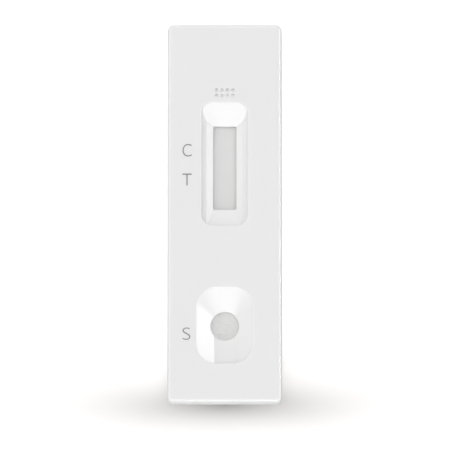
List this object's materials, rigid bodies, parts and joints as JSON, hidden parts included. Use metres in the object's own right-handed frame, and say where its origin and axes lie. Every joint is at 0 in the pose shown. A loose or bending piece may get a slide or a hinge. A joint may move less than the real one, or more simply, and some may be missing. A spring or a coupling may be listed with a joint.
{
  "type": "lateral flow cassette",
  "caption": "Flat oblong white plastic cassette with a sloped result window, a round sample well in an oblong pocket, and a layered paper test strip inside.",
  "frame": {"origin": "centre of the bounding box's bottom face, in the flat underside", "axes": "+Z out of the face that is read, +Y along the cassette from the sample well towards the result window, +X to the reader's right"},
  "size_m": [0.021, 0.07, 0.005],
  "materials": {
    "cover_plastic": "satin white moulded polystyrene",
    "base_plastic": "satin white moulded polystyrene",
    "card_plastic": "smooth white plastic card",
    "membrane_film": "matt porous white film",
    "glass_fibre": "felted glass fibre",
    "cotton_pad": "felted white cotton paper",
    "blotting_pad": "thick white blotting paper"
  },
  "bodies": {
    "root": {"cover": "cover_plastic", "base": "base_plastic", "backing_card": "card_plastic", "membrane": "membrane_film", "conjugate_pad": "glass_fibre", "sample_pad": "cotton_pad", "absorbent_pad": "blotting_pad"}
  },
  "joints": []
}
